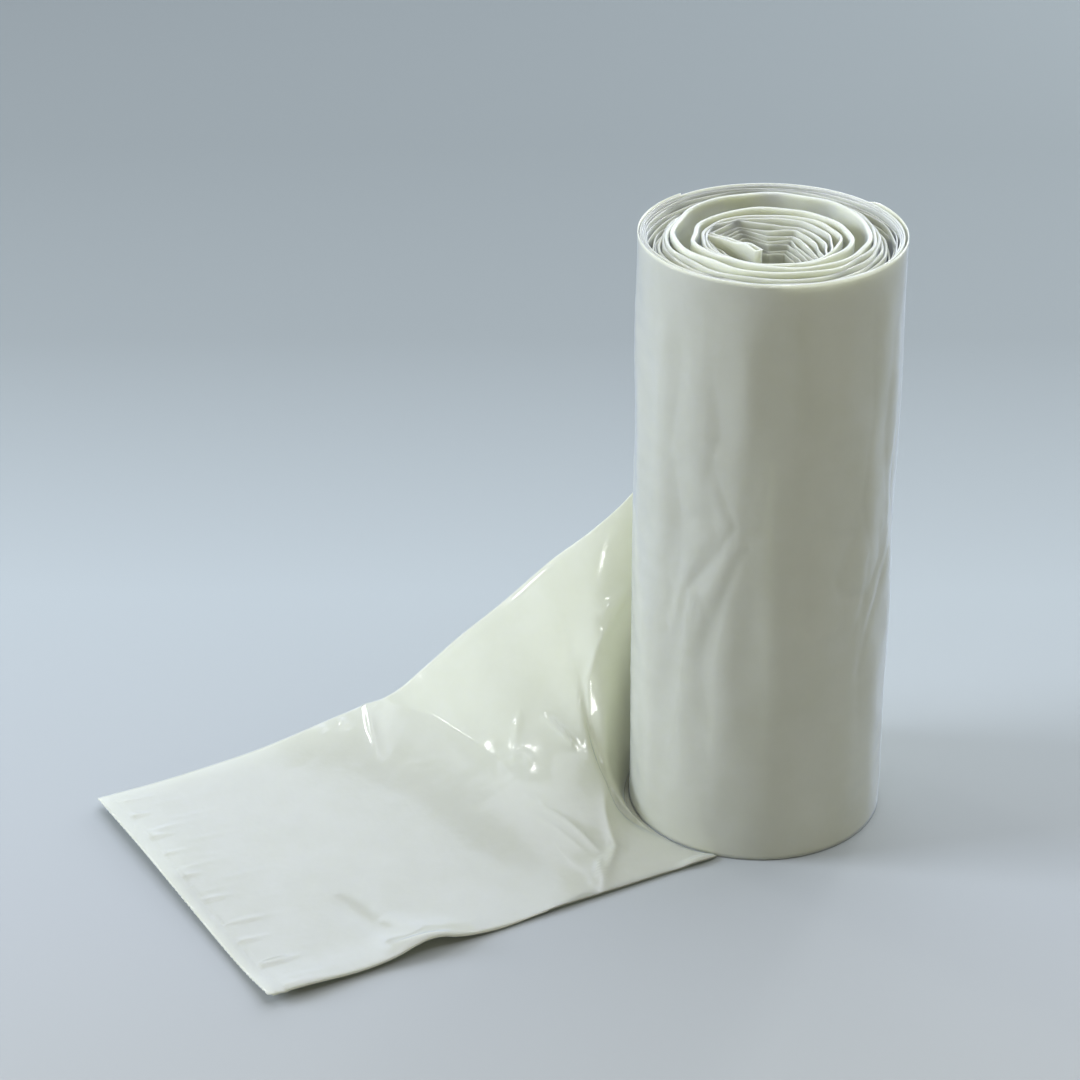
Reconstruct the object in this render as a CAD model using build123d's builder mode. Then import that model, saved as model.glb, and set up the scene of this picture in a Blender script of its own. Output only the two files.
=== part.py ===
from build123d import *
import os
from math import cos, sin, pi, sqrt, tan, radians

# A coreless roll of film bin bags standing on one end. The first bag is pulled off it, twisted
# down and laid on the floor. Origin at the middle of the roll's foot, +Z up the roll's axis, and
# the pulled bag runs along -X.

# the roll
ROLL_DIAMETER = 70.0
ROLL_LENGTH = 170.0
BAG_THICKNESS = 0.6          # one turn of the first bag: a bag folded flat, with the air in it
TURN_PITCH = 3.2             # step of the spiral gap that shows between groups of turns
TURN_GAP = 0.7
TOP_GAP_DEPTH = 12.0
FOOT_GAP_DEPTH = 3.0
RIM_WIDTH = 4.0              # the outer turns, which stand proud as a rim
END_DISH = 3.5               # how far the middle turns stand below the rim
CORE_WIDTH = 13.0            # the open middle, left where the mandrel was drawn out
CORE_CORNER_RADIUS = 1.3
CORE_MOUTH_WIDTH = 27.0      # the same opening at the top, where the first turns lean inwards
CORE_MOUTH_DEPTH = 14.0
MOUTH_START = 0.98           # share of the core's width where the mouth begins, inside the core
POINTS_PER_TURN = 16         # on the spiral gap

# the pulled bag
TAIL_REACH = 163.0           # from the roll's axis to the bag's end
TAIL_WIDTH = 108.2           # across the part that lies on the floor
NEAR_EDGE = 23.5             # from the roll's axis to the bag's near edge
FOLD_UNDER = 62.0            # the strip of the bag turned under along its near edge
FOLD_TAPER = 17.5            # the run over which that strip reaches its full width
LEAVE_HEIGHT = 107.0         # top of the film where it leaves the roll
LAYER_AIR = 0.4              # air between the bag and its turned-under strip
STRIP_THICKNESS = 0.5
TURN_START = 10.0            # degrees past the leaving line where the first bag begins
FOOT_CLEARANCE = 0.2         # between the film on the floor and the roll's foot
FLOOR_GAP = 0.02             # under the lower edge of the twisting film
END_LIFT = 0.4               # how far the bag's far corner has sprung up
CUT_MARGIN = 1.0             # how far a cutting shape passes the face it trims

roll_radius = ROLL_DIAMETER / 2
turn_inner = roll_radius - BAG_THICKNESS
near_y = -NEAR_EDGE
far_y = near_y + TAIL_WIDTH
fold_height = STRIP_THICKNESS + LAYER_AIR + BAG_THICKNESS

os.makedirs("parts", exist_ok=True)

# The middle is an uneven polygon, because nothing held the innermost turns round.
core_corners = [
    (-0.93, 0.91), (0.03, 1.25), (0.55, 0.62), (0.90, 0.26),
    (0.74, -1.05), (-0.40, -1.22), (-0.94, -0.60),
]


def core_outline(width):
    return [(x * width / 2, y * width / 2) for x, y in core_corners]


def spiral_points(first_radius, last_radius, shift):
    """Points along an even spiral that opens anticlockwise, seen from above."""
    turns = (last_radius - first_radius) / TURN_PITCH
    count = int(turns * POINTS_PER_TURN)
    points = []
    for index in range(count + 1):
        turned = turns * index / count
        radius = first_radius + TURN_PITCH * turned + shift
        angle = 2 * pi * turned
        points.append((radius * cos(angle), radius * sin(angle)))
    return points


# ---- the bags that are still wound: a roll's turns are one solid ----
rim_inner = turn_inner - RIM_WIDTH
mouth_reach = max(sqrt(x * x + y * y) for x, y in core_outline(CORE_MOUTH_WIDTH))
gap_first = mouth_reach + TURN_PITCH - TURN_GAP
gap_last = rim_inner - TURN_PITCH / 2
with BuildPart() as wound_bags:
    # a round body with a raised rim
    with BuildSketch(Plane.XZ):
        with BuildLine():
            Polyline(
                (0, 0),
                (turn_inner, 0),
                (turn_inner, ROLL_LENGTH),
                (rim_inner, ROLL_LENGTH),
                (rim_inner, ROLL_LENGTH - END_DISH),
                (0, ROLL_LENGTH - END_DISH),
                close=True,
            )
        make_face()
    revolve(axis=Axis.Z)

    # the open middle goes right through
    with BuildSketch(Plane.XY):
        with BuildLine():
            Polyline(*core_outline(CORE_WIDTH), close=True)
        make_face()
        fillet(vertices(), radius=CORE_CORNER_RADIUS)
    extrude(amount=ROLL_LENGTH, mode=Mode.SUBTRACT)

    # and widens to a mouth at the top
    with BuildSketch(Plane.XY.offset(ROLL_LENGTH - CORE_MOUTH_DEPTH)):
        with BuildLine():
            Polyline(*core_outline(CORE_WIDTH * MOUTH_START), close=True)
        make_face()
    with BuildSketch(Plane.XY.offset(ROLL_LENGTH)):
        with BuildLine():
            Polyline(*core_outline(CORE_MOUTH_WIDTH), close=True)
        make_face()
    loft(ruled=True, mode=Mode.SUBTRACT)

    # the spiral gap between groups of turns, deep at the top and shallow at the foot
    inner_side = spiral_points(gap_first, gap_last, -TURN_GAP / 2)
    outer_side = spiral_points(gap_first, gap_last, TURN_GAP / 2)
    for level, height in ((ROLL_LENGTH - TOP_GAP_DEPTH, TOP_GAP_DEPTH), (0.0, FOOT_GAP_DEPTH)):
        with BuildSketch(Plane.XY.offset(level)):
            with BuildLine():
                Spline(*inner_side)
                Spline(*outer_side)
                Line(inner_side[0], outer_side[0])
                Line(inner_side[-1], outer_side[-1])
            make_face()
        extrude(amount=height, mode=Mode.SUBTRACT)

wound_bags.part.label = "wound_bags"
export_step(wound_bags.part, "parts/wound_bags.step")


# ---- the first bag: one turn round the roll, then free film down to the floor ----
def beside_roll(x, gap):
    """The y where the plane at x passes the back of the roll, standing off by the gap."""
    return sqrt((roll_radius + gap) ** 2 - x ** 2)


# Cross sections of the free film, from the roll to the bag's end. Each is a straight strip between
# an upper edge and a foot: (x, upper y, upper z, foot y, foot z). The first five follow the roll's
# size, and the rest share out the length that lies flat past the foot of the crest.
spread = far_y - roll_radius
foot_level = BAG_THICKNESS / 2 + FLOOR_GAP
on_strip = fold_height - BAG_THICKNESS / 2
in_fold = near_y + BAG_THICKNESS / 2
crest_foot = -1.77 * roll_radius
flat_run = TAIL_REACH + crest_foot
beside_sections = [
    # share of the roll's radius out, of the spread, of the leaving height, gap to the roll
    (0.26, 0.03, 0.87, 1.2),
    (0.52, 0.07, 0.75, 1.5),
    (0.77, 0.19, 0.635, 2.0),
]
film_sections = [
    (-out * roll_radius, roll_radius + swung * spread, height * LEAVE_HEIGHT,
     beside_roll(out * roll_radius, gap), foot_level)
    for out, swung, height, gap in beside_sections
] + [
    (-1.00 * roll_radius, roll_radius + 0.34 * spread, 0.53 * LEAVE_HEIGHT,
     0.37 * roll_radius, foot_level),
    (-1.43 * roll_radius, roll_radius + 0.58 * spread, 0.35 * LEAVE_HEIGHT,
     -0.20 * roll_radius, foot_level),
    (crest_foot, roll_radius + 0.76 * spread, 0.225 * LEAVE_HEIGHT, in_fold, on_strip),
    (crest_foot - 0.25 * flat_run, roll_radius + 0.95 * spread, 0.075 * LEAVE_HEIGHT,
     in_fold, on_strip),
    (crest_foot - 0.50 * flat_run, far_y, 0.03 * LEAVE_HEIGHT, in_fold, on_strip),
    (-TAIL_REACH, far_y, on_strip + END_LIFT, in_fold, on_strip),
]

with BuildPart() as leading_bag:
    # the turn round the roll, open where the bag before it was torn off
    with BuildSketch(Plane.XY):
        Circle(roll_radius)
        Circle(turn_inner, mode=Mode.SUBTRACT)
        with BuildLine():
            Polyline(
                (0, 0),
                (0, ROLL_DIAMETER),
                (-ROLL_DIAMETER * tan(radians(TURN_START)), ROLL_DIAMETER),
                close=True,
            )
        make_face(mode=Mode.SUBTRACT)
    extrude(amount=ROLL_LENGTH)

    # its top edge slopes down across the back of the roll to the leaving line
    edge_slope = (ROLL_LENGTH - LEAVE_HEIGHT) / roll_radius
    cut_reach = roll_radius + CUT_MARGIN
    cut_top = LEAVE_HEIGHT + edge_slope * cut_reach
    with BuildSketch(Plane.XZ):
        with BuildLine():
            Polyline(
                (0, LEAVE_HEIGHT),
                (cut_reach, cut_top),
                (0, cut_top),
                close=True,
            )
        make_face()
    extrude(amount=-cut_reach, mode=Mode.SUBTRACT)

    # the free film, twisting from upright at the roll to flat on the floor
    with BuildSketch(Plane.YZ):
        with BuildLine():
            Polyline(
                (turn_inner, 0),
                (roll_radius, 0),
                (roll_radius, LEAVE_HEIGHT),
                (turn_inner, LEAVE_HEIGHT),
                close=True,
            )
        make_face()
    for x, upper_y, upper_z, foot_y, foot_z in film_sections:
        length = sqrt((upper_y - foot_y) ** 2 + (upper_z - foot_z) ** 2)
        side_y = (upper_z - foot_z) / length * BAG_THICKNESS / 2
        side_z = (upper_y - foot_y) / length * BAG_THICKNESS / 2
        with BuildSketch(Plane.YZ.offset(x)):
            with BuildLine():
                Polyline(
                    (foot_y - side_y, foot_z + side_z),
                    (foot_y + side_y, foot_z - side_z),
                    (upper_y + side_y, upper_z - side_z),
                    (upper_y - side_y, upper_z + side_z),
                    close=True,
                )
            make_face()
    loft(ruled=True)

    # the film that lies on the floor: beside the roll's foot, and turned under along the near edge
    foot_line = [(x, foot_y) for x, _, _, foot_y, foot_z in film_sections if foot_z == foot_level]
    with BuildSketch(Plane.XY):
        with BuildLine():
            Polyline(
                (-TAIL_REACH, near_y),
                (0, near_y),
                (0, roll_radius),
                *foot_line,
                (crest_foot, near_y + BAG_THICKNESS),
                (crest_foot - FOLD_TAPER, near_y + FOLD_UNDER),
                (-TAIL_REACH, near_y + FOLD_UNDER),
                close=True,
            )
        make_face()
        Circle(roll_radius + FOOT_CLEARANCE, mode=Mode.SUBTRACT)
    extrude(amount=STRIP_THICKNESS)

    # the fold that joins the two layers
    with BuildSketch(Plane.XY):
        with Locations(((crest_foot - TAIL_REACH) / 2, near_y + BAG_THICKNESS / 2)):
            Rectangle(flat_run, BAG_THICKNESS)
    extrude(amount=fold_height)

leading_bag.part.label = "leading_bag"
export_step(leading_bag.part, "parts/leading_bag.step")
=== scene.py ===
# %% [markdown]
# # A coreless roll of bin bags with its first bag pulled off
#
# The roll stands on its end. The first bag leaves it at the back, twists down and lies on the floor.
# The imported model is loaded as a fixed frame. Every piece below is placed from the frame's own
# boxes, in metres, and replaces the plain solid that stands for it.

# %% Load the frame
import math

import bpy
import numpy as np
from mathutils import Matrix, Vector


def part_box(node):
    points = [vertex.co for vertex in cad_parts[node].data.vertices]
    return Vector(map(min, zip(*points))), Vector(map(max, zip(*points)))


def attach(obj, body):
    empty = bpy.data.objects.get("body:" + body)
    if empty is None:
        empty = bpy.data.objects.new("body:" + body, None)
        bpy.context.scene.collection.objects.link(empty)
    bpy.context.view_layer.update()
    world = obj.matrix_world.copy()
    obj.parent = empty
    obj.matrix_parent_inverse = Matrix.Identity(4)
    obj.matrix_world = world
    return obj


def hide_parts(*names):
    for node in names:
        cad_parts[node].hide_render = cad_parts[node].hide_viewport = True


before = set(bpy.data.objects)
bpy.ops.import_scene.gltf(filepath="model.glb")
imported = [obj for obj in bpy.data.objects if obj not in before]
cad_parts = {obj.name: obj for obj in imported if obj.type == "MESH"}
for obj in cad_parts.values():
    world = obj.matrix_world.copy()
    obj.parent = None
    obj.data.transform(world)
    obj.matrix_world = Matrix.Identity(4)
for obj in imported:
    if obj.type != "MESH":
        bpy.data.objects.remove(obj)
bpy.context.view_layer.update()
MM = 0.001
print("frame nodes:", sorted(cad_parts))

# %% [markdown]
# Sizes are read off the frame rather than typed again. The wound bags give the roll's height, and the
# first bag's box gives the outer radius and how far the free film reaches.

# %% Measure the roll
NEAR_EDGE_SHARE = 0.671               # of the roll's radius, from its axis to the bag's near edge
wound_high = np.array(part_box("wound_bags")[1]) / MM
bag_low, bag_high = (np.array(corner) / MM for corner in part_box("leading_bag"))
ROLL_HEIGHT = wound_high[2]
ROLL_RADIUS = bag_high[0]
TAIL_END = bag_low[0]
FAR_EDGE = bag_high[1]
NEAR_EDGE = -NEAR_EDGE_SHARE * ROLL_RADIUS
print(f"roll {2 * ROLL_RADIUS:.1f} x {ROLL_HEIGHT:.1f} mm, bag reaches {TAIL_END:.1f} mm")

# %% [markdown]
# ## Helpers
# Colours are written as sRGB hex, the way a paint chart gives them, and Blender wants them linear.
# One function adds a shader node with its settings and links, so each material reads as a list.

# %% Colour and node helpers
def linear(hex_colour):
    channels = [int(hex_colour[i:i + 2], 16) / 255 for i in (1, 3, 5)]
    rgb = [c / 12.92 if c <= 0.04045 else ((c + 0.055) / 1.055) ** 2.4 for c in channels]
    return (*rgb, 1.0)


def new_material(name):
    material = bpy.data.materials.new(name)
    material.use_nodes = True
    material.node_tree.nodes.clear()
    return material


def add_node(material, kind, settings=None, inputs=None):
    """Adds a node. settings are its properties, inputs its socket values or the sockets to link."""
    tree = material.node_tree
    node = tree.nodes.new(kind)
    for key, value in (settings or {}).items():
        setattr(node, key, value)
    for key, value in (inputs or {}).items():
        if isinstance(value, bpy.types.NodeSocket):
            tree.links.new(value, node.inputs[key])
        else:
            node.inputs[key].default_value = value
    return node


# %% [markdown]
# Crumpled film is never a clean formula, so the meshes take small, seeded unevenness. A few sine
# waves in mixed directions give a smooth field that is the same on every run.

# %% Smooth, repeatable unevenness
def waves(points, length, seed, count=7):
    """A smooth field of about -1..1 over points of any dimension, with features of that length."""
    rng = np.random.default_rng(seed)
    points = np.asarray(points, float)
    total = np.zeros(points.shape[:-1])
    for _ in range(count):
        direction = rng.normal(size=points.shape[-1])
        direction /= np.linalg.norm(direction)
        size = length * rng.uniform(0.7, 1.6)
        total += np.sin(points @ direction * 2 * math.pi / size + rng.uniform(0, 2 * math.pi))
    return total / math.sqrt(count)


def smooth_step(low, high, value):
    t = np.clip((value - low) / (high - low), 0, 1)
    return t * t * (3 - 2 * t)


def mesh_piece(name, points_mm, faces):
    """A smooth-shaded object from points in millimetres."""
    mesh = bpy.data.meshes.new(name)
    mesh.from_pydata((np.asarray(points_mm) * MM).tolist(), [], faces)
    mesh.validate()
    piece = bpy.data.objects.new(name, mesh)
    bpy.context.scene.collection.objects.link(piece)
    mesh.polygons.foreach_set("use_smooth", [True] * len(mesh.polygons))
    mesh.update()
    return piece


def grid_faces(columns, rows, start=0):
    """The quads of a grid whose points are numbered from start, column after column."""
    return [
        (start + i * rows + j, start + i * rows + j + 1,
         start + (i + 1) * rows + j + 1, start + (i + 1) * rows + j)
        for i in range(columns - 1) for j in range(rows - 1)
    ]


# %% [markdown]
# ## The free film, as cross sections
# The free film is a strip that starts upright on the roll and ends flat on the floor. It could be
# simulated from a flat sheet, but where it creases would then be luck. So its large shape is lofted
# through sections, as a draughtsman would fair a hull: each section runs from the film's upper edge
# down to its foot, and the sections fan round the roll's foot before they run along the near edge.

# %% Sections of the free film, in millimetres
def straight(upper, foot, sag):
    """Seven points from the upper edge to the foot, hanging below a straight line by the sag."""
    share = np.array([0, 0.18, 0.38, 0.57, 0.75, 0.9, 1])
    line = np.outer(1 - share, upper) + np.outer(share, foot)
    line[:, 2] -= sag * np.sin(share * math.pi)
    return line


FILM_SECTIONS = [
    # from the roll to the bag's end, each from the upper edge to the foot
    [(0, 35.3, 107), (0, 35.3, 88), (0, 35.3, 68), (0, 35.3, 47), (0, 35.3, 28), (0, 35.3, 12),
     (0, 35.3, 0.3)],
    [(-9, 36.4, 93), (-9.4, 36.2, 77), (-9.8, 35.8, 60), (-10.4, 35.2, 42), (-11, 34.6, 25),
     (-11.6, 34.0, 11), (-12.2, 33.5, 0.3)],
    [(-18, 39, 80.5), (-19, 37.5, 68), (-20.3, 35.6, 55), (-21.4, 33.2, 41), (-22.3, 30.8, 26),
     (-23.2, 28.6, 12), (-24, 26.6, 0.3)],
    [(-27, 44.5, 69.5), (-28, 41, 60), (-29.5, 37, 50), (-31.5, 32, 39), (-32.8, 26, 24),
     (-34.2, 20.5, 9), (-34.0, 13.0, 0.3)],
    [(-36, 52.5, 58.5), (-36.2, 47, 50.5), (-36.6, 40.5, 40.5), (-37.1, 33.5, 31), (-38.0, 24, 14.5),
     (-38.2, 12, 2.2), (-35.6, -3, 0.4)],
    [(-46, 62, 43.8), (-44.6, 52, 36), (-43.2, 40, 27), (-42, 28, 19), (-41.4, 14.5, 9.5),
     (-41.2, 0, 2.6), (-31.7, -17, 0.4)],
    [(-56, 69.5, 31.8), (-55, 55.5, 24.8), (-54, 40, 17.5), (-53, 24, 11.5), (-52, 8, 6),
     (-51, -7, 2.4), (-27.4, -23.4, 0.5)],
    [(-64, 75, 21.4), (-63.4, 60, 16.4), (-62.8, 43, 11.6), (-62.2, 25, 7.4), (-62, 8, 4.2),
     (-61.5, -9, 2.4), (-45, -23.4, 0.8)],
    straight((-72, 79.5, 13.2), (-66, -23.5, 1.0), 1.6),
    straight((-87, 83.5, 7.4), (-84, -23.5, 1.0), 1.4),
    straight((-110, FAR_EDGE, 3.8), (-108, -23.5, 1.0), 0.8),
    straight((-136, FAR_EDGE, 2.2), (-136, -23.5, 1.1), 0.3),
    straight((TAIL_END + 0.6, FAR_EDGE - 0.5, 2.2), (TAIL_END + 1.0, NEAR_EDGE, 1.6), 0.2),
]
sections = np.array([np.array(s, float) for s in FILM_SECTIONS])


STEPS_PER_SPAN = 16    # of the curve between two sections, before it is spaced evenly


def spline_through(points, count):
    """Catmull-Rom through points (first axis), evenly spaced by length along the middle column."""
    points = np.asarray(points, float)
    padded = np.concatenate([2 * points[:1] - points[1:2], points, 2 * points[-1:] - points[-2:-1]])
    fine = []
    for k in range(len(points) - 1):
        a, b, c, d = padded[k:k + 4]
        for t in np.linspace(0, 1, STEPS_PER_SPAN, endpoint=False):
            fine.append(0.5 * (2 * b + (c - a) * t + (2 * a - 5 * b + 4 * c - d) * t ** 2
                               + (3 * b - a - 3 * c + d) * t ** 3))
    fine.append(points[-1])
    fine = np.array(fine)
    step = np.linalg.norm(np.diff(fine, axis=0), axis=-1)
    step = step.reshape(len(step), -1).mean(1)
    along = np.concatenate([[0], np.cumsum(step)])
    wanted = np.linspace(0, along[-1], count)
    flat = fine.reshape(len(fine), -1)
    even = np.stack([np.interp(wanted, along, flat[:, c]) for c in range(flat.shape[1])], 1)
    return even.reshape(count, *points.shape[1:])


FILM_COLUMNS = 280     # along the free film, about 0.7 mm apart
FILM_ROWS = 150        # across it, about 0.7 mm apart
lofted = spline_through(sections, FILM_COLUMNS)
film = np.array([spline_through(column, FILM_ROWS) for column in lofted])
print("free film grid:", film.shape)

# %% [markdown]
# ## Creases
# Film keeps the creases of its folding and of the pull. A crease is a line across the sheet and a
# sharp-crested height that dies away on both sides, pushed along the sheet's own normal.

# %% Creases pressed into the sheet
def grid_normals(grid):
    along = np.gradient(grid, axis=0)
    across = np.gradient(grid, axis=1)
    normal = np.cross(along, across)
    return normal / np.maximum(np.linalg.norm(normal, axis=-1, keepdims=True), 1e-9)


def distance_to_path(points, path):
    """Distance from each point to a broken line, and how far along the line (0..1) that is."""
    path = np.asarray(path, float)
    lengths = np.linalg.norm(np.diff(path, axis=0), axis=1)
    start = np.concatenate([[0], np.cumsum(lengths)])
    best = np.full(points.shape[:-1], np.inf)
    place = np.zeros(points.shape[:-1])
    for k, (a, b) in enumerate(zip(path[:-1], path[1:])):
        t = np.clip(((points - a) @ (b - a)) / max(lengths[k] ** 2, 1e-9), 0, 1)
        gap = np.linalg.norm(points - (a + t[..., None] * (b - a)), axis=-1)
        nearer = gap < best
        best = np.where(nearer, gap, best)
        place = np.where(nearer, (start[k] + t * lengths[k]) / start[-1], place)
    return best, place


def crease(grid, path, height, width, sharp=True):
    """Raises (or, below zero, presses in) the sheet along a path, fading out at the path's ends."""
    gap, place = distance_to_path(grid, path)
    fade = np.sin(np.clip(place, 0.02, 0.98) * math.pi) ** 0.6
    shape = np.exp(-gap / width) if sharp else np.exp(-(gap / width) ** 2)
    return grid + grid_normals(grid) * (height * fade * shape)[..., None]


CREASES = [
    # path, height (below zero is pressed in), width in mm, and whether its crest is sharp
    # the crest where the film turns over beside the roll, and its run down to the near edge
    ([(-19, 34.3, 56), (-22.7, 34, 51.4), (-28, 33, 44.8), (-32.2, 31.8, 40), (-36, 30.7, 31.3),
      (-36.6, 28.8, 26), (-37.2, 27.4, 22.1), (-37, 22.8, 14.3)], 1.3, 1.2, True),
    ([(-29.5, 35.4, 47.4), (-24.8, 34.4, 50.7), (-19, 34.3, 54.5)], 0.9, 2.4, False),
    ([(-38.6, 18, 9), (-45.9, 4.4, 4.9), (-50, -8, 2.2), (-57.5, -15.9, 1.7), (-63, -23, 1)],
     1.0, 1.8, True),
    # the long fold from the far edge to where several creases meet
    ([(-78, 86, 12), (-73.4, 76.6, 11.8), (-67.6, 63.5, 12.9), (-64.8, 51.2, 12.2), (-61.5, 38, 11),
      (-60, 26, 8)], -1.7, 7.0, True),
    ([(-73.4, 76.6, 11.8), (-67.6, 63.5, 12.9), (-64.8, 51.2, 12.2), (-62.7, 42.7, 11.6)],
     0.5, 1.0, True),
    ([(-63, 43, 11.8), (-61, 40.5, 12.2), (-61.8, 36, 10.5), (-63.5, 31, 9)], 0.8, 1.1, True),
    ([(-51.6, 41.6, 20.2), (-54.9, 37.5, 15.6), (-58.4, 33.5, 11.7)], 0.8, 1.0, True),
    ([(-62, 36.5, 10.6), (-58.4, 33.5, 11.7), (-55.7, 32.2, 13), (-54.9, 27.7, 11.8)], 0.75, 1.0, True),
    ([(-47.4, 36.5, 21), (-45.2, 29.9, 18.2), (-43.4, 24, 15.4)], 1.3, 1.2, True),
    # two soft creases down to the crumpled foot of the crest
    ([(-61, 20.6, 6.9), (-59.3, 13.7, 5.8), (-56.9, 7.2, 4.9), (-55.5, -0.9, 3.6), (-54.8, -9.6, 2.2)],
     0.6, 1.5, True),
    ([(-63.5, 17, 6), (-60.5, 6, 4.4), (-58.5, -6, 2.8)], 0.35, 1.8, True),
    ([(-56, -10, 2.2), (-59, -14.5, 1.9), (-61.5, -17.5, 1.5)], 0.7, 0.8, True),
    ([(-57.5, -13, 2), (-60.5, -18.5, 1.4), (-62.5, -22, 1)], 0.7, 0.8, True),
    # the near corner beside the roll's foot, which has sprung up
    ([(-38, -23, 0.5), (-31, -22.8, 0.5), (-27, -23.6, 0.5)], 1.0, 1.6, False),
    # knocks along the far edge
    ([(-78.5, 84, 9.8), (-80.5, 78, 8.7), (-82.5, 72.5, 7.4), (-86, 61.3, 5.3)], 1.3, 1.5, True),
    ([(-87.5, 82, 7), (-88.6, 77, 6.2)], 0.7, 1.2, True),
    ([(-77, 81.5, 10.6), (-77.8, 78, 10)], 0.6, 1.0, True),
    ([(-93.5, 83, 5.8), (-94, 80, 5.4)], 0.5, 0.9, True),
    # the lifted place on the near edge, and the hollow that runs from it
    ([(-125, -19.5, 1), (-120, -21.5, 1), (-115, -22.5, 1), (-108, -23.5, 1)], 1.5, 2.4, False),
    ([(-127, 11, 1.1), (-123.7, -5.3, 1.1), (-120.5, -17, 1)], -0.55, 3.5, False),
    ([(-119, -4, 1), (-115.5, -16, 1)], 0.5, 3.0, False),
]
for path, height, width, sharp in CREASES:
    film = crease(film, path, height, width, sharp)
LIP_COLUMNS = slice(56, 130, 6)       # where the upper edge has curled back a little
LIP_CURL = -1.0                       # mm
LIP_WIDTH = 1.2
film = crease(film, film[LIP_COLUMNS, 0], LIP_CURL, LIP_WIDTH)
print("creases:", len(CREASES))

# %% [markdown]
# The flat part isn't a plane either. The film was wound tight, so it lies in long low swells, its
# end lifts off the floor, and the seal across the end gathers it into short ripples.

# %% Swells, the lifted end and the seal's gathers
SWELL_HEIGHT = 0.38                   # mm, of the long low swells
SWELL_LENGTH = 52
END_LIFT = 1.0                        # mm that the end lifts off the floor
END_LIFT_REACH = 26
SEAL_INSET = 4.0                      # mm from the bag's end to the seal
RIPPLE_SPACING = 5.5                  # mm between the gathers beside the seal
RIPPLE_HEIGHT = 0.3
RIPPLE_REACH = 8
SEAL_DEPTH = 0.3                      # mm that the seal is pressed in, in dashes
SEAL_WIDTH = 0.8
DASH_LENGTH = 1.7
COCKLE_HEIGHT = 0.05                  # mm, of the fine unevenness outside the seal
TEAR_DEPTH = 0.12                     # mm that the torn edge wanders
lying = smooth_step(-62, -80, film[..., 0])
film[..., 2] += lying * SWELL_HEIGHT * (1 + waves(film[..., :2] * (1, 0.8), SWELL_LENGTH, 41))
end_gap = film[..., 0] - film[-1:, :, 0]
end_lift = 1 - smooth_step(0, END_LIFT_REACH, end_gap)
film[..., 2] += END_LIFT * end_lift * (0.75 + 0.25 * waves(film[..., 1:2], 70, 42))
past_seal = end_gap - SEAL_INSET
ripples = np.maximum(waves(film[..., :2] * (0.25, 1), RIPPLE_SPACING, 43, 5), 0) ** 1.6
ripple_reach = smooth_step(0, 2.5, past_seal) * np.exp(-np.maximum(past_seal, 0) / RIPPLE_REACH)
film[..., 2] += RIPPLE_HEIGHT * ripples * ripple_reach
seal_dash = 0.6 + 0.4 * np.sin(film[..., 1] * 2 * math.pi / DASH_LENGTH)
film[..., 2] -= SEAL_DEPTH * seal_dash * np.exp(-(past_seal / SEAL_WIDTH) ** 2)
outside_seal = 1 - smooth_step(SEAL_INSET - 1, SEAL_INSET, end_gap)
film[..., 2] += COCKLE_HEIGHT * waves(film[..., :2] * 2.2, 3.0, 44) * outside_seal
film[-1, :, 0] += TEAR_DEPTH * waves(film[-1, :, 1:2], 1.6, 45, 5)

# the near edge has sprung up in one place, and stays a little raised from there to the end
SPRUNG_PLACE = -116                   # mm along the bag
SPRUNG_HALF_LENGTH = 13
SPRUNG_HEIGHT = 2.6
RAISED_HEIGHT = 0.9
EDGE_LIFT_REACH = 9                   # mm in from the edge
near_gap = film[..., 1] - NEAR_EDGE
edge_lift = SPRUNG_HEIGHT * np.exp(-((film[..., 0] - SPRUNG_PLACE) / SPRUNG_HALF_LENGTH) ** 2)
edge_lift += RAISED_HEIGHT * smooth_step(-118, -150, film[..., 0])
film[..., 2] += edge_lift * np.exp(-(near_gap / EDGE_LIFT_REACH) ** 2)
print("highest point of the lying part: %.1f mm" % film[-60:, :, 2].max())

# %% [markdown]
# ## The strip turned under
# The bag is wider than the part that lies on the floor. The rest is turned under along the near
# edge, so that edge shows two layers and a rounded fold. It runs out where the film reaches the roll.

# %% The turned-under strip
HEM_START = 165                       # the column where the film first reaches the near edge
HEM_ROWS = 24
FOLD_UNDER = 62.0                     # mm, the width turned under
NARROWEST = 0.4                       # mm, the strip's width where it runs out
WIDENING_RUN = 42                     # mm along the edge, up to the full width
FOLDING_RUN = 16                      # mm along the edge, up to the full fold
STRIP_HEIGHT = 0.2                    # mm above the floor
UNDER_GAP = 0.7                       # mm from the film down to the strip, where both lift together
LEAST_GAP = 0.12                      # the same, where the strip runs out
HELD_REACH = 12                       # mm in from the fold that the strip lifts with it
END_SETBACK = 1.2                     # mm that the strip's end stands back from the film's
ROW_SPACING = 108 / (FILM_ROWS - 1)   # mm between the film's rows
FOLD_ROUND = ((0.2, 0.25), (0.3, 0.5), (0.2, 0.8), (0.0, 1.0))    # mm out, share of the way down
edge_line = film[HEM_START:, -1]
inward = film[HEM_START:, -8] - edge_line
inward[:, 2] = 0
inward /= np.linalg.norm(inward, axis=1, keepdims=True)
inward[-1] = inward[-2]               # the torn edge itself is too ragged to take a direction from
along_edge = edge_line[0, 0] - edge_line[:, 0]
strip_width = NARROWEST + FOLD_UNDER * smooth_step(0, WIDENING_RUN, along_edge)
folding = smooth_step(0, FOLDING_RUN, along_edge)
near_end = 1 - smooth_step(2, 24, edge_line[:, 0] - TAIL_END)
edge_under = np.maximum(edge_line[:, 2] - UNDER_GAP, STRIP_HEIGHT)
edge_under = np.minimum(edge_line[:, 2] - 0.1, edge_line[:, 2] * (1 - folding) + edge_under * folding)
rows = []
for share, drop in FOLD_ROUND:
    row = edge_line - inward * (share * folding)[:, None]
    row[:, 2] = edge_line[:, 2] * (1 - drop) + edge_under * drop
    rows.append(row)
columns = np.arange(len(edge_line))
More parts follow.
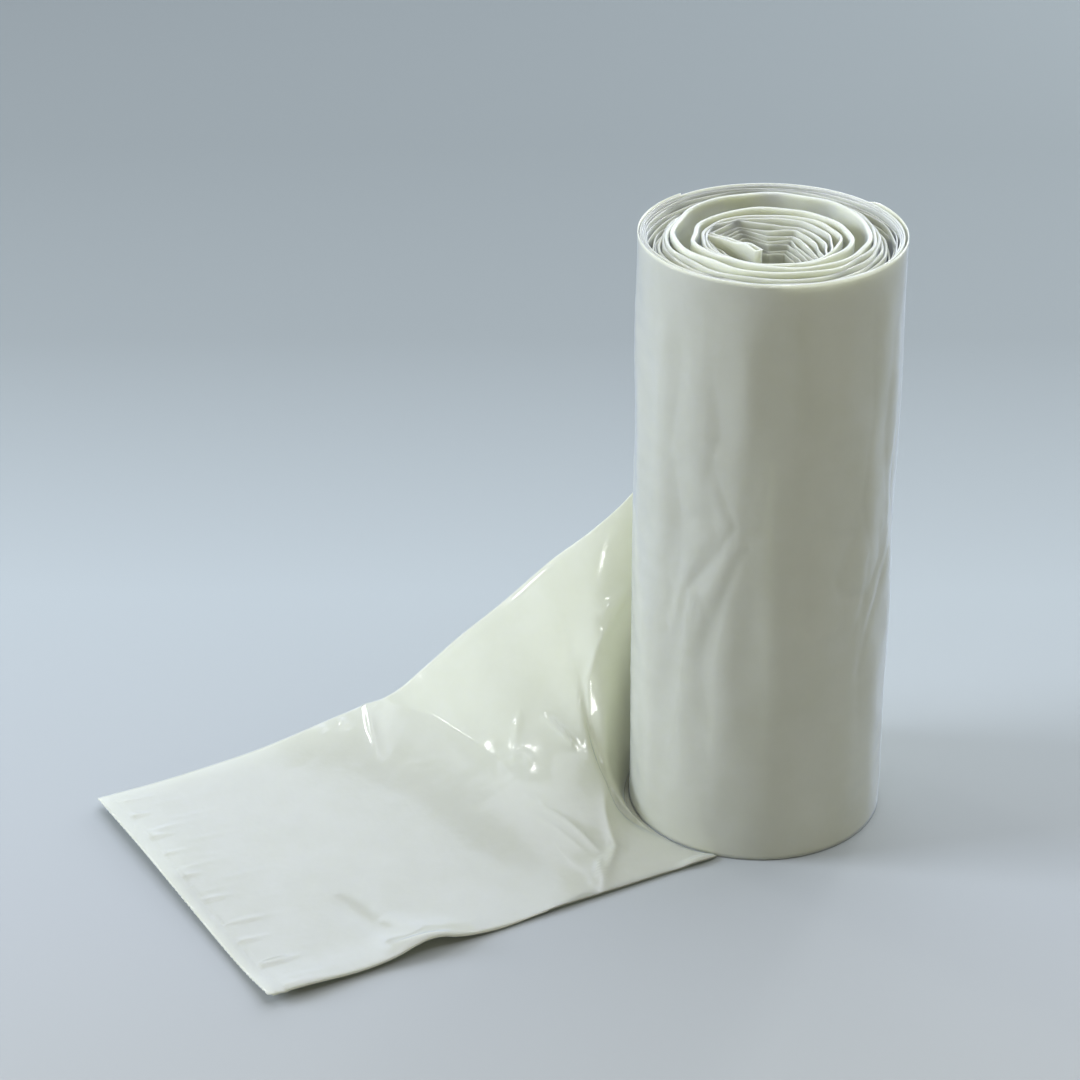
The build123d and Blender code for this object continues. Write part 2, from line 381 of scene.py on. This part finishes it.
gap_here = LEAST_GAP + (UNDER_GAP - LEAST_GAP) * folding
for share in np.linspace(0, 1, HEM_ROWS - len(rows) + 1)[1:]:
    inset = strip_width * share
    row = edge_line + inward * inset[:, None]
    row[:, 2] = STRIP_HEIGHT + 0.08 * (1 + waves(row[:, :2], 30, 5))
    film_row = np.clip((FILM_ROWS - 1 - inset / ROW_SPACING).astype(int), 0, FILM_ROWS - 1)
    lifted = film[HEM_START + columns, film_row, 2] - gap_here
    held_up = np.maximum(np.maximum(near_end, 1 - folding), np.exp(-(inset / HELD_REACH) ** 2))
    row[:, 2] += held_up * np.maximum(lifted - row[:, 2], 0)
    rows.append(row)
strip = np.stack(rows, 1)
strip[..., 0] += END_SETBACK * (near_end ** 3)[:, None]
print("strip grid:", strip.shape)

# %% [markdown]
# ## The film on the floor beside the roll
# Where the film comes round the roll its foot spreads on the floor, right up to the roll, so no gap
# shows there. It is a narrow band from the film's lower edge in to the roll's foot.

# %% The foot beside the roll
FOOT_RADIUS = ROLL_RADIUS - 0.2       # mm, where the film on the floor meets the roll
FOOT_ROWS = 5
foot_line = film[:HEM_START + 1, -1]
foot_distance = np.linalg.norm(foot_line[:, :2], axis=1)
at_roll = foot_line * (1, 1, 0) * (FOOT_RADIUS / foot_distance)[:, None] + (0, 0, STRIP_HEIGHT)
foot = np.stack([foot_line + (at_roll - foot_line) * share
                 for share in np.linspace(0, 1, FOOT_ROWS)], 1)
print("foot grid:", foot.shape)

# %% [markdown]
# The film, the strip and the foot are one sheet, so they become one mesh. A row of quads joins the
# film's near edge to the strip's first row.

# %% One mesh of the free film
strip_start = FILM_COLUMNS * FILM_ROWS
foot_start = strip_start + strip.shape[0] * HEM_ROWS
faces = grid_faces(FILM_COLUMNS, FILM_ROWS) + grid_faces(len(strip), HEM_ROWS, strip_start)
faces += grid_faces(len(foot), FOOT_ROWS, foot_start)
for i in range(len(strip) - 1):
    edge = (HEM_START + i) * FILM_ROWS + FILM_ROWS - 1
    under = strip_start + i * HEM_ROWS
    faces.append((edge, under, under + HEM_ROWS, edge + FILM_ROWS))
tail_points = np.concatenate([film.reshape(-1, 3), strip.reshape(-1, 3), foot.reshape(-1, 3)])
tail = mesh_piece("leading_bag_film", tail_points, faces)
print("free film:", len(faces), "faces")

# %% [markdown]
# ## The turn round the roll
# Before it leaves, the first bag goes once round. Its upper edge slides down across the back,
# because the film is being pulled off downwards. The surface is a cylinder that has been pulled
# tight in some places and not in others, so it undulates along its height.

# %% The turn round the roll
TURN_COLUMNS = 260
TURN_ROWS = 150
START_ANGLE = math.radians(101)
LEAVE_ANGLE = math.radians(450.8)
BLEND_START = math.radians(434)       # from here the turn takes over the free film's radius
BLEND_END = math.radians(450)
RIM_SETBACK = 0.3                     # mm, from the roll's top down to the turn's upper edge
TURN_FOOT = 0.3                       # mm above the floor
INNER_START = 0.5                     # mm inside the roll's radius, where the turn begins
WOUND_RISE = 0.4                      # mm that it rises over its own start, in one turn
SLACK_LIMIT = 0.7                     # mm that the surface may stand off or sink in
angle = np.linspace(START_ANGLE, LEAVE_ANGLE, TURN_COLUMNS)
edge_drop = (ROLL_HEIGHT - sections[0][0][2]) * (1 - np.cos(np.maximum(angle - 2 * math.pi, 0)))
upper_edge = ROLL_HEIGHT - RIM_SETBACK - edge_drop
share_down = np.linspace(0, 1, TURN_ROWS)
turn_z = upper_edge[:, None] * (1 - share_down) + TURN_FOOT * share_down
turn_angle = np.repeat(angle[:, None], TURN_ROWS, 1)
wound_on = (turn_angle - START_ANGLE) / (LEAVE_ANGLE - START_ANGLE)
arc = turn_angle * ROLL_RADIUS
tall_place = np.stack([arc, turn_z * 0.28], -1)     # features taller than they are wide
slack = 0.24 * waves(tall_place, 15, 11) + 0.05 * waves(np.stack([arc, turn_z], -1), 9, 12)


def facets(points, length, seed, count=3):
    """Crumples: flat patches that meet in crisp, nearly straight lines, as squeezed film does."""
    rng = np.random.default_rng(seed)
    bend = np.stack([waves(points, 2 * length, seed + 1 + c) for c in (0, 1)], -1)
    bent = points + 0.16 * length * bend
    total = np.zeros(points.shape[:-1])
    for _ in range(count):
        heading = rng.uniform(0, math.pi)
        across = bent @ np.array([math.cos(heading), math.sin(heading)])
        phase = across * math.pi / (length * rng.uniform(0.8, 1.5)) + rng.uniform(0, 3)
        total += 1 - 2 * np.abs(np.sin(phase))
    return total / count


CRUMPLED_PATCHES = [
    # middle (degrees, mm up), half size (degrees, mm), height (mm)
    (206, 82, 20, 36, 0.30),
    (222, 55, 22, 26, 0.20),
    (305, 92, 22, 24, 0.34),
    (262, 72, 30, 18, 0.10),
    (195, 132, 20, 26, 0.16),
]
degrees_round = np.degrees(turn_angle)
for middle, up, half_turn, half_up, height in CRUMPLED_PATCHES:
    window = np.exp(-((degrees_round - middle) / half_turn) ** 2 - ((turn_z - up) / half_up) ** 2)
    slack += height * window * facets(np.stack([arc, turn_z * 0.7], -1), 17, int(middle))
slack = SLACK_LIMIT * np.tanh(slack / SLACK_LIMIT)
slack *= smooth_step(0, 12, turn_z) * smooth_step(1, 20, upper_edge[:, None] - turn_z)
leaving = smooth_step(BLEND_START, BLEND_END, turn_angle)
wound_radius = ROLL_RADIUS - INNER_START + WOUND_RISE * wound_on + slack
turn_radius = wound_radius * (1 - leaving) + sections[0][0][1] * leaving
turn_z += RIM_SETBACK * leaving * (1 - share_down)
turn = np.stack([turn_radius * np.cos(turn_angle), turn_radius * np.sin(turn_angle), turn_z], -1)


def on_roll(places):
    """Points on the roll, each given as degrees round and millimetres up."""
    return [(ROLL_RADIUS * math.cos(math.radians(a)), ROLL_RADIUS * math.sin(math.radians(a)), up)
            for a, up in places]


ROLL_CREASES = [
    # height (below zero is pressed in), width in mm, then the path in degrees and mm up
    # edges of the flats where the film was pulled tight, wandering down the roll
    (0.45, 3.6, (193, 164), (196, 142), (191, 120), (197, 101), (190, 85), (196, 67), (192, 48),
     (198, 24)),
    (0.5, 3.4, (214, 166), (211, 147), (216, 128), (210, 110), (216, 97), (205, 83), (214, 71),
     (208, 58), (215, 43), (211, 22)),
    (0.2, 3.0, (231, 160), (234, 132), (229, 104), (233, 78), (228, 50)),
    (0.4, 3.0, (285, 158), (288, 128), (283, 104), (291, 88), (286, 60), (289, 30)),
    (0.35, 2.6, (303, 150), (299, 120), (305, 96), (300, 62)),
    # single creases
    (0.5, 1.5, (318, 90), (308, 82), (291, 64), (284, 48)),
    (0.5, 1.4, (316, 124), (312, 108), (313, 94), (319, 84)),
    (-0.5, 1.2, (247, 70), (257, 68), (264, 68), (276, 71)),
    # the crumpled band round the middle
    (0.65, 2.2, (212, 122), (215, 114), (224, 101), (216, 92), (201, 79), (197, 60), (196, 46)),
    (0.5, 2.2, (193, 110), (198, 97), (196, 82), (190, 69), (195, 55)),
    (0.55, 1.8, (229, 97), (220, 81), (217, 75), (214, 58)),
    (-0.45, 1.5, (199, 79), (212, 80), (222, 82)),
    (0.55, 1.8, (283, 98), (270, 84), (273, 79), (289, 75), (279, 63)),
    (0.5, 1.5, (298, 95), (301, 84), (289, 75)),
    (0.35, 2.2, (246, 95), (266, 97), (289, 95)),
    (0.4, 1.8, (194, 98), (211, 102), (226, 101)),
    (-0.35, 0.9, (234, 97), (238, 97.5), (243, 97)),
    (-0.45, 1.6, (221, 92), (212, 80), (207, 66)),
    (0.4, 1.3, (219, 76), (213, 70), (211, 60), (214, 50)),
    (0.3, 1.6, (190, 104), (199, 98), (207, 103), (214, 96)),
    (-0.35, 1.2, (300, 104), (308, 98), (317, 101)),
]
for height, width, *places in ROLL_CREASES:
    turn = crease(turn, on_roll(places), height, width)
turn_piece = mesh_piece("leading_bag_turn", turn.reshape(-1, 3), grid_faces(TURN_COLUMNS, TURN_ROWS))
print("turn:", turn.shape, "with", len(ROLL_CREASES), "creases")

# %% [markdown]
# Both sheets get a real thickness from a Solidify modifier, applied at once so that the mesh is what is
# seen. Each layer is a bag folded flat, so it is thicker than one wall of film.

# %% Give the film its thickness
LAYER_THICKNESS = 0.28                # mm: several walls of film pressed flat


def thicken(piece, thickness_mm):
    """Applies the thickness to the piece's mesh, and gives its number of faces."""
    modifier = piece.modifiers.new("layer", "SOLIDIFY")
    modifier.thickness = thickness_mm * MM
    modifier.offset = 0
    evaluated = piece.evaluated_get(bpy.context.evaluated_depsgraph_get())
    solid = bpy.data.meshes.new_from_object(evaluated)
    piece.modifiers.clear()
    flat_mesh = piece.data
    piece.data = solid
    bpy.data.meshes.remove(flat_mesh)
    solid.polygons.foreach_set("use_smooth", [True] * len(solid.polygons))
    solid.name = piece.name
    return len(solid.polygons)


for piece in (tail, turn_piece):
    print(piece.name, thicken(piece, LAYER_THICKNESS), "faces")

# %% [markdown]
# ## The turns that show at the ends
# The roll has no core tube: a mandrel was drawn out, and the innermost turns sagged into an uneven
# polygon. The turns then lie in three groups with gaps between them, each edge at its own height.
# They could be bump on a disc, but the eye looks straight into the end, so this is one long ribbon
# wound as a real spiral. A table says where some turns lie, and the others lie between them.

# %% The spiral's turns
SPIRAL_KNOTS = np.array([
    # turn; half width, half depth and centre, as shares of the radius; mm below the rim; wall in mm
    [0, 0.25, 0.27, 0.00, 9.5, 0.45],
    [3, 0.35, 0.35, 0.00, 6.4, 0.50],
    [7.5, 0.475, 0.45, 0.00, 2.4, 0.55],
    [8.0, 0.50, 0.47, 0.00, 1.9, 0.70],
    [8.9, 0.515, 0.485, 0.00, 1.6, 1.00],
    [9.1, 0.575, 0.545, -0.01, 1.2, 1.35],
    [9.9, 0.585, 0.555, -0.01, 0.9, 1.35],
    [10.1, 0.715, 0.735, 0.040, 0.4, 1.35],
    [10.9, 0.725, 0.745, 0.040, 0.1, 1.35],
    [11.1, 0.755, 0.770, 0.025, 0.8, 0.95],
    [12.0, 0.780, 0.790, 0.020, 1.6, 0.95],
    [14.0, 0.832, 0.838, 0.008, 3.8, 0.80],
    [15.0, 0.855, 0.862, 0.004, 5.6, 0.60],
    [16.0, 0.893, 0.893, 0.00, 4.6, 0.45],
    [18.0, 0.921, 0.921, 0.00, 2.2, 0.45],
    [20.0, 0.948, 0.948, 0.00, 0.7, 0.45],
    [22.0, 0.974, 0.974, 0.00, 0.2, 0.45],
])
CORE_CORNERS = np.array([
    (-0.47, 0.12), (-0.23, 0.42), (-0.02, 0.24), (0.17, 0.27), (0.40, -0.23), (0.10, -0.47),
    (-0.19, -0.37),
])
STEPS_PER_TURN = 120
FULL_TURN = 2 * math.pi
POLYGON_STRENGTH = 0.95               # how nearly the inner turns follow the polygon's straight sides
corner_angle = np.arctan2(CORE_CORNERS[:, 1], CORE_CORNERS[:, 0]) % FULL_TURN
corner_order = np.argsort(corner_angle)
corner_angle = corner_angle[corner_order]
corners_round = CORE_CORNERS[corner_order]
mean_corner_radius = np.linalg.norm(CORE_CORNERS, axis=1).mean()


def core_shape(direction):
    """The polygon's radius in a direction, as a share of its mean, with straight sides."""
    k = np.searchsorted(corner_angle, direction % FULL_TURN) % len(corner_angle)
    a, b = corners_round[k - 1], corners_round[k]
    ray = np.stack([np.cos(direction), np.sin(direction)], -1)
    side = b - a
    cross = ray[..., 0] * side[..., 1] - ray[..., 1] * side[..., 0]
    radius = (a[..., 0] * side[..., 1] - a[..., 1] * side[..., 0]) / cross
    return radius / mean_corner_radius


turn_count = SPIRAL_KNOTS[-1, 0]
steps = int(turn_count * STEPS_PER_TURN)
at_turn = np.linspace(0, turn_count, steps)
direction = at_turn * FULL_TURN - math.pi / 2       # a turn starts at the front
half_width, half_depth, centre, below, wall = (
    np.interp(at_turn, SPIRAL_KNOTS[:, 0], SPIRAL_KNOTS[:, column]) for column in range(1, 6))
polygon_share = POLYGON_STRENGTH * (1 - smooth_step(3, 9.2, at_turn))
shape = 1 + polygon_share * (core_shape(direction) - 1)
print(f"{turn_count:.0f} turns, {steps} steps")

# %% [markdown]
# The cross-section of the ribbon is a thin wall with a rounded top edge. Lower down the turns are
# packed evenly, and near the top they lean and open out. The end's shape is given as seen from the
# front, and is then turned into the frame's axes.

# %% Wind the ribbon
ROUNDED = ((0.0, 0.0), (0.06, 0.5), (0.25, 0.87), (0.5, 1.0))    # depth and half thickness, in walls
DEEPER = (1.2, 2.4, 4.2, 7.0, 12.0, 20.0, 40.0)                 # mm below the edge
OPENING_DEPTHS = (5, 24)               # mm below the edge, where the turns begin and end to close up
PACKED_INNER = 0.25                   # shares of the radius, for the turns that are packed evenly
PACKED_SPREAD = 0.69
PACKED_WALL = 0.3                     # mm
TOP_SETBACK = 0.35                    # mm that the highest edge stays under the roll's top
FRONT_TURN = math.radians(-30)        # from the direction the end is seen from to the frame's axes
edge_place = np.stack([np.cos(direction) * 18, np.sin(direction) * 18, at_turn * 9], -1)
uneven_edge = 0.3 * waves(edge_place, 22, 21)
edge_height = ROLL_HEIGHT - TOP_SETBACK - below + uneven_edge * smooth_step(0, 1.2, below + 0.3)
foot_height = 0.2 + 0.8 * (1 + np.sin(at_turn * 2.4)) * (1 - smooth_step(20, 21.5, at_turn))
packed = PACKED_INNER + PACKED_SPREAD * at_turn / turn_count
one_side = [(wall * deep, share) for deep, share in ROUNDED]
one_side += [(np.full(steps, depth), 1.0) for depth in DEEPER]
whole_height = edge_height - foot_height
levels = one_side + [(whole_height, 1.0), (whole_height, -1.0)]
levels += [(level, -share) for level, share in reversed(one_side[1:])]
ribbon_lines = []
for level, side in levels:
    opened = 1 - smooth_step(*OPENING_DEPTHS, level)
    wide = half_width * opened + packed * (1 - opened)
    deep = half_depth * opened + packed * (1 - opened)
    soft = 0.016 * waves(np.stack([direction * 16, at_turn * 5, level], -1), 11, 31)
    soft *= smooth_step(22, 15, at_turn)
    outline = 1 + (shape - 1) * np.maximum(opened, 0.3) + soft * opened
    x = ROLL_RADIUS * wide * np.cos(direction) * outline
    y = ROLL_RADIUS * (deep * np.sin(direction) * outline + centre * opened)
    half_wall = side * (wall * opened + PACKED_WALL * (1 - opened)) / 2
    x += np.cos(direction) * half_wall
    y += np.sin(direction) * half_wall
    ribbon_lines.append(np.stack([x, y, edge_height - level], -1))


def turned_into_frame(points):
    """The points, turned about the roll's axis from the front into the frame's axes."""
    x, y = points[..., 0], points[..., 1]
    return np.stack([
        x * math.cos(FRONT_TURN) - y * math.sin(FRONT_TURN),
        x * math.sin(FRONT_TURN) + y * math.cos(FRONT_TURN), points[..., 2]], -1)


def ribbon_piece(name, ribbon):
    """A closed ribbon from its cross-sections: (steps along it, points round it, 3)."""
    length, ring_size = ribbon.shape[:2]
    faces = [
        (i * ring_size + j, i * ring_size + (j + 1) % ring_size,
         (i + 1) * ring_size + (j + 1) % ring_size, (i + 1) * ring_size + j)
        for i in range(length - 1) for j in range(ring_size)
    ]
    faces.append(tuple(range(ring_size)))
    faces.append(tuple((length - 1) * ring_size + j for j in reversed(range(ring_size))))
    print(name, len(faces), "faces")
    return mesh_piece(name, turned_into_frame(ribbon).reshape(-1, 3), faces)


roll = ribbon_piece("wound_bag_turns", np.stack(ribbon_lines, 1))

# %% [markdown]
# The web's own start was folded over where it was tucked against the mandrel. It stands free in the
# middle as a flattened loop, lighter than what is round it because light reaches both its sides.

# %% The folded start of the web
LOOP_START = np.array([-0.47, 0.13]) * ROLL_RADIUS
LOOP_END = np.array([-0.12, -0.20]) * ROLL_RADIUS
LOOP_HALF_WIDTH = 0.85                # mm, between the loop's two legs and its middle
LOOP_WALL = 0.75
LOOP_TOP = ROLL_HEIGHT - 2.6
LOOP_DEPTH = 15.0
LOOP_BOW = 1.1                        # mm that the legs bow out of line
LEG_POINTS = 24
END_POINTS = 14
along = (LOOP_END - LOOP_START) / np.linalg.norm(LOOP_END - LOOP_START)
aside = np.array([-along[1], along[0]])
bow = LOOP_BOW * np.sin(np.linspace(0, math.pi, LEG_POINTS))[:, None] * aside
leg = LOOP_START + np.linspace(0, 1, LEG_POINTS)[:, None] * (LOOP_END - LOOP_START) + bow
end_turn = np.linspace(math.pi / 2, -math.pi / 2, END_POINTS)[1:-1, None]
rounded_end = LOOP_END + LOOP_HALF_WIDTH * (np.sin(end_turn) * aside + np.cos(end_turn) * along)
returning_leg = (leg - aside * LOOP_HALF_WIDTH)[::-1]
loop_line = np.concatenate([leg + aside * LOOP_HALF_WIDTH, rounded_end, returning_leg])
tangent = np.gradient(loop_line, axis=0)
outward = np.stack([-tangent[:, 1], tangent[:, 0]], -1) / np.linalg.norm(tangent, axis=1, keepdims=True)
loop_top = LOOP_TOP + 0.35 * waves(loop_line, 9, 51)
loop_ring = [(LOOP_WALL * deep, share) for deep, share in ROUNDED] + [(LOOP_DEPTH, 1.0)]
loop_ring += [(depth, -share) for depth, share in reversed(loop_ring[1:])]
loop = ribbon_piece("folded_web_start", np.stack([
    np.column_stack([loop_line + outward * LOOP_WALL / 2 * share, loop_top - depth])
    for depth, share in loop_ring], 1))

# %% [markdown]
# ## LDPE film, pigmented off-white
# Low-density polyethylene film is blown as a bubble and slit. It is glossy but never flat: the
# surface has a fine grain and soft dimples, and the pigment lets light in a few millimetres, which
# gives stacked layers a yellow-green depth. Two noises make the bump, at their real sizes.

# %% The film material
DIMPLE_SIZE = 12 * MM                 # metres, as all sizes in the material
GRAIN_SIZE = 2.5 * MM
DIMPLE_DEPTH = 0.6 * MM
GRAIN_DEPTH = 0.2 * MM
SCATTER_DEPTH = 3 * MM
film_white = new_material("pigmented_LDPE_film")
texture_place = add_node(film_white, "ShaderNodeTexCoord")
soft_dimples = add_node(
    film_white, "ShaderNodeTexNoise", {"noise_dimensions": "3D"},
    {"Vector": texture_place.outputs["Object"], "Scale": 1 / DIMPLE_SIZE, "Detail": 3.0,
     "Roughness": 0.55})
fine_grain = add_node(
    film_white, "ShaderNodeTexNoise", {"noise_dimensions": "3D"},
    {"Vector": texture_place.outputs["Object"], "Scale": 1 / GRAIN_SIZE, "Detail": 2.0,
     "Roughness": 0.5})
dimple_bump = add_node(
    film_white, "ShaderNodeBump", None,
    {"Height": soft_dimples.outputs["Fac"], "Strength": 0.25, "Distance": DIMPLE_DEPTH})
grain_bump = add_node(
    film_white, "ShaderNodeBump", None,
    {"Height": fine_grain.outputs["Fac"], "Strength": 0.12, "Distance": GRAIN_DEPTH,
     "Normal": dimple_bump.outputs["Normal"]})
tint = add_node(
    film_white, "ShaderNodeMix", {"data_type": "RGBA"},
    {"Factor": soft_dimples.outputs["Fac"], "A": linear("#D6D8BE"), "B": linear("#CCCEB0")})
film_shader = add_node(
    film_white, "ShaderNodeBsdfPrincipled", None,
    {"Base Color": tint.outputs["Result"], "Roughness": 0.11, "IOR": 1.51,
     "Subsurface Weight": 0.6, "Subsurface Radius": (1.0, 1.0, 0.75), "Subsurface Scale": SCATTER_DEPTH,
     "Sheen Weight": 0.45, "Sheen Roughness": 0.35, "Sheen Tint": linear("#DCE8FA"),
     "Normal": grain_bump.outputs["Normal"]})
add_node(film_white, "ShaderNodeOutputMaterial", None, {"Surface": film_shader.outputs["BSDF"]})
print("film nodes:", len(film_white.node_tree.nodes))

# %% [markdown]
# At the roll's top the end face is painted lighter: painted light, standing in for the light that falls
# on the end face from above. A copy of the material blends to a lighter tint over the top few
# millimetres only, so the roll's wall below keeps the film's own colour.

# %% Painted light on the roll's top
TINT_START = (ROLL_HEIGHT - 16) * MM
TINT_FULL = (ROLL_HEIGHT - 3) * MM
film_with_painted_top_light = film_white.copy()
film_with_painted_top_light.name = "pigmented_LDPE_film_painted_top_light"
copied = film_with_painted_top_light.node_tree.nodes
up_the_roll = add_node(
    film_with_painted_top_light, "ShaderNodeSeparateXYZ", None, {"Vector": copied[texture_place.name].outputs["Object"]})
near_the_top = add_node(
    film_with_painted_top_light, "ShaderNodeMapRange", None,
    {"Value": up_the_roll.outputs["Z"], "From Min": TINT_START, "From Max": TINT_FULL})
# painted light: the top of the roll is mixed to a paler tint where light falls on its end face
painted_top_light_tint = add_node(
    film_with_painted_top_light, "ShaderNodeMix", {"data_type": "RGBA"},
    {"Factor": near_the_top.outputs["Result"], "A": copied[tint.name].outputs["Result"],
     "B": linear("#DDDFCB")})
base_colour = copied[film_shader.name].inputs["Base Color"]
film_with_painted_top_light.node_tree.links.new(painted_top_light_tint.outputs["Result"], base_colour)
PAINTED = ((tail, film_white), (turn_piece, film_white), (roll, film_with_painted_top_light), (loop, film_with_painted_top_light))
for piece, paint in PAINTED:
    piece.data.materials.clear()
    piece.data.materials.append(paint)

# %% [markdown]
# ## Ride and replace
# The row has no joints, so everything rides on its one body. The visual pieces stand for the plain
# solids.

# %% Tie the pieces to the frame
for piece in (tail, turn_piece):
    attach(piece, "root")
    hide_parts("leading_bag")
for piece in (roll, loop):
    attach(piece, "root")
    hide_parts("wound_bags")

# %% [markdown]
# ## Floor
# The floor's colour darkens away from the roll: painted light falloff, a pool of light round the roll
# painted into the floor. The tones run across it from before the roll to behind it, so one ramp along
# the floor's depth is enough.

# %% The floor
FLOOR_SIZE = 8                        # metres
FLOOR_TURN = math.radians(30)         # so that the ramp runs straight away from the front
bpy.ops.mesh.primitive_plane_add(size=FLOOR_SIZE, location=(0, 0, 0))
floor = bpy.context.object
floor.name = "floor"
floor_painted_falloff = new_material("floor_painted_light_falloff")
floor_place = add_node(floor_painted_falloff, "ShaderNodeTexCoord")
turned_place = add_node(
    floor_painted_falloff, "ShaderNodeMapping", None,
    {"Vector": floor_place.outputs["Object"], "Rotation": (0, 0, FLOOR_TURN)})
from_roll = add_node(
    floor_painted_falloff, "ShaderNodeSeparateXYZ", None, {"Vector": turned_place.outputs["Vector"]})
behind_roll = add_node(
    floor_painted_falloff, "ShaderNodeMapRange", None,
    {"Value": from_roll.outputs["Y"], "From Min": -0.3, "From Max": 0.5})
# painted light falloff: paler in front of the roll, darker behind it
painted_falloff_ramp = add_node(floor_painted_falloff, "ShaderNodeValToRGB", None, {"Fac": behind_roll.outputs["Result"]})
stops = painted_falloff_ramp.color_ramp.elements
stops[0].position, stops[0].color = 0.0, linear("#B0B1A7")
stops[1].position, stops[1].color = 1.0, linear("#878D8A")
for place, colour in ((0.3, "#ACB0AE"), (0.52, "#ABB2B0"), (0.76, "#8F9592")):
    stops.new(place).color = linear(colour)
floor_shader = add_node(
    floor_painted_falloff, "ShaderNodeBsdfPrincipled", None,
    {"Base Color": painted_falloff_ramp.outputs["Color"], "Roughness": 0.85, "Specular IOR Level": 0.2})
add_node(floor_painted_falloff, "ShaderNodeOutputMaterial", None, {"Surface": floor_shader.outputs["BSDF"]})
floor.data.materials.append(floor_painted_falloff)
print("floor tones:", len(stops))

# %% [markdown]
# ## Lights
# A window stands on the left and a very large soft box hangs overhead. Dim panels on the right and
# behind fill the shaded side, and a low warm bounce in front lifts the roll's foot. Glossy film
# shows its lights as reflections, so small lamps draw the crisp ones, and the window and the bounce
# are kept out of the reflections.

# %% Large lights
def soft_box(name, place, target, size, power, colour):
    """A rectangular area light: place, target and size in metres, power in watts."""
    light = bpy.data.lights.new(name, "AREA")
    light.shape = "RECTANGLE"
    light.size, light.size_y = size
    light.energy = power
    light.color = linear(colour)[:3]
    lamp = bpy.data.objects.new(name, light)
    lamp.location = place
    lamp.rotation_euler = (Vector(target) - Vector(place)).to_track_quat("-Z", "Y").to_euler()
    bpy.context.scene.collection.objects.link(lamp)
    return lamp


key = soft_box("left_window", (-1.15, 0.6, 0.55), (0, 0, 0.06), (0.5, 0.6), 18.2, "#DCE6FF")
key.visible_glossy = False
soft_box("overhead", (0.35, 0.08, 1.5), (0.05, 0.02, 0), (2.2, 1.6), 22.6, "#E6ECFF")
soft_box("right_panel", (0.95, 0.3, 0.34), (0, 0, 0.06), (0.8, 0.5), 4.7, "#EAF2FF")
soft_box("back_panel", (0.7, 1.22, 0.75), (-0.1, 0, 0), (1.4, 0.9), 7, "#D8E4FF")
front_bounce = soft_box("front_bounce", (0.1, -0.95, 0.13), (0, 0, 0.04), (1.4, 0.2), 1.2, "#F4ECC8")
front_bounce.visible_glossy = False


# %% [markdown]
# Each small lamp is aimed at the roll's foot from where one crease would mirror it. Its power goes
# with its area, so a larger lamp makes a larger spark and not a brighter one.

# %% Small lamps
LAMP_DISTANCE = 1.15                  # metres from the roll's foot
LAMP_POWER = 55                       # watts per square metre of lamp


def small_lamp(name, azimuth, elevation, side):
    """A lamp small enough to show as a crisp spark in one crease."""
    level = math.cos(math.radians(elevation))
    place = (
        LAMP_DISTANCE * level * math.cos(math.radians(azimuth)),
        LAMP_DISTANCE * level * math.sin(math.radians(azimuth)),
        LAMP_DISTANCE * math.sin(math.radians(elevation)),
    )
    return soft_box(name, place, (0, 0, 0.02), (side, side), LAMP_POWER * side ** 2, "#FFFFFF")


SMALL_LAMPS = (     # name, azimuth and elevation in degrees, side in metres
    ("crest_lamp", -140, 9, 0.11),
    ("upper_edge_lamp", 148, 11, 0.14),
    ("meeting_folds_lamp", 145, 33, 0.09),
    ("far_edge_lamp", 110, 37, 0.11),
    ("slash_lamp", -107, 65, 0.11),
    ("swell_lamp", -123, 33, 0.09),
    ("near_crumple_lamp", 36, 45, 0.12),
    ("arc_lamp", 152, 57, 0.09),
)
for name, azimuth, elevation, side in SMALL_LAMPS:
    small_lamp(name, azimuth, elevation, side)
print("small lamps:", len(SMALL_LAMPS))

# %% World and colour
world = bpy.data.worlds.new("studio")
bpy.context.scene.world = world
world.use_nodes = True
background = world.node_tree.nodes["Background"]
background.inputs["Color"].default_value = linear("#F0E8C6")
background.inputs["Strength"].default_value = 0.14
bpy.context.scene.view_settings.view_transform = "Standard"
bpy.context.scene.view_settings.look = "None"

# %% Camera
camera_data = bpy.data.cameras.new("camera")
camera_data.lens = 109.47
camera_data.sensor_width = 36
camera = bpy.data.objects.new("camera", camera_data)
camera.location = (-0.4424, -0.6469, 0.4942)
camera.rotation_euler = Vector((0.4418, 0.7652, -0.4683)).to_track_quat("-Z", "Y").to_euler()
bpy.context.scene.collection.objects.link(camera)
bpy.context.scene.camera = camera
